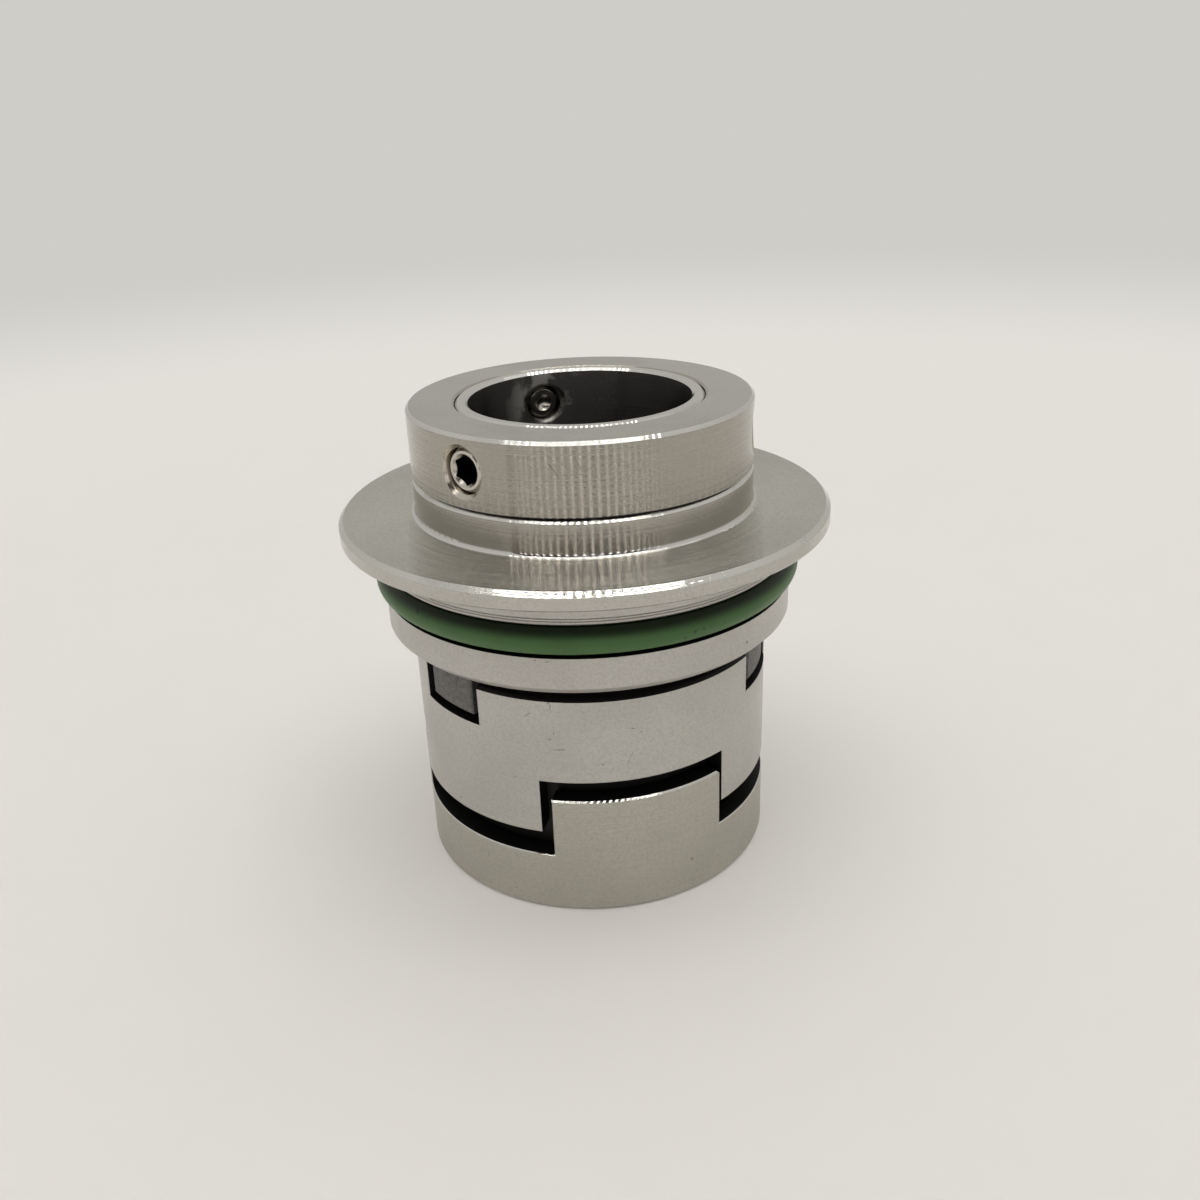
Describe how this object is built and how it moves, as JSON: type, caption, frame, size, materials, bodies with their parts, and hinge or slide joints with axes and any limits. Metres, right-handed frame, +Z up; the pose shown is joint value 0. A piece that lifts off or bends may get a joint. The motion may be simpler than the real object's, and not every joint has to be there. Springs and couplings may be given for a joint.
{
  "type": "cartridge mechanical seal",
  "caption": "Cartridge mechanical seal for a pump shaft: clamped sleeve with a spring-loaded seal ring turning against a flanged gland.",
  "frame": {"origin": "centre of the drive cup's underside, on the shaft axis, at the bottom of the seal", "axes": "+Z up along the shaft axis, from the drive cup to the drive collar; -Y towards the front view"},
  "size_m": [0.0492, 0.0492, 0.048],
  "materials": {
    "turned_steel": "fine turned stainless steel with a satin sheen",
    "spring_steel": "bright drawn spring wire",
    "screw_steel": "bright plated steel",
    "green_rubber": "smooth moulded green elastomer with a soft sheen",
    "black_rubber": "smooth moulded black elastomer",
    "ring_carbide": "sintered dark grey ceramic with a faint sheen",
    "bush_plastic": "machined off-white bearing plastic"
  },
  "bodies": {
    "rotor": {"shaft_sleeve": "turned_steel", "shaft_o_ring": "black_rubber", "drive_cup": "turned_steel", "drive_collar": "turned_steel", "spring_1": "spring_steel", "spring_2": "spring_steel", "spring_3": "spring_steel", "spring_4": "spring_steel", "spring_5": "spring_steel", "spring_6": "spring_steel"},
    "drive": {"drive_ring": "turned_steel", "rotary_ring": "ring_carbide", "rotary_o_ring": "black_rubber"},
    "gland": {"gland_flange": "turned_steel", "gland_o_ring": "green_rubber", "stationary_seat": "ring_carbide", "seat_o_ring": "black_rubber", "seat_pin": "turned_steel", "centring_bush": "bush_plastic"},
    "screw_1": {"set_screw_1": "screw_steel"},
    "screw_2": {"set_screw_2": "screw_steel"},
    "screw_3": {"set_screw_3": "screw_steel"}
  },
  "joints": [
    {"name": "drive_slide", "type": "slide", "parent": "rotor", "child": "drive", "axis": [0, 0, 1], "range_m": [-0.002, 0], "stiffness_N_per_m": 6000, "springref_m": 0.004, "deforming": ["spring_1", "spring_2", "spring_3", "spring_4", "spring_5", "spring_6"]},
    {"name": "gland_spin", "type": "hinge", "parent": "drive", "child": "gland", "pos_m": [0, 0, 0.03], "axis": [0, 0, 1], "continuous": true},
    {"name": "set_screw_1_travel", "type": "slide", "parent": "rotor", "child": "screw_1", "axis": [0.6388, 0.7694, 0], "range_m": [-0.0015, 0.00045]},
    {"name": "set_screw_2_travel", "type": "slide", "parent": "rotor", "child": "screw_2", "axis": [-0.9857, 0.1685, 0], "range_m": [-0.0015, 0.00045]},
    {"name": "set_screw_3_travel", "type": "slide", "parent": "rotor", "child": "screw_3", "axis": [0.3469, -0.9379, 0], "range_m": [-0.0015, 0.00045]}
  ]
}
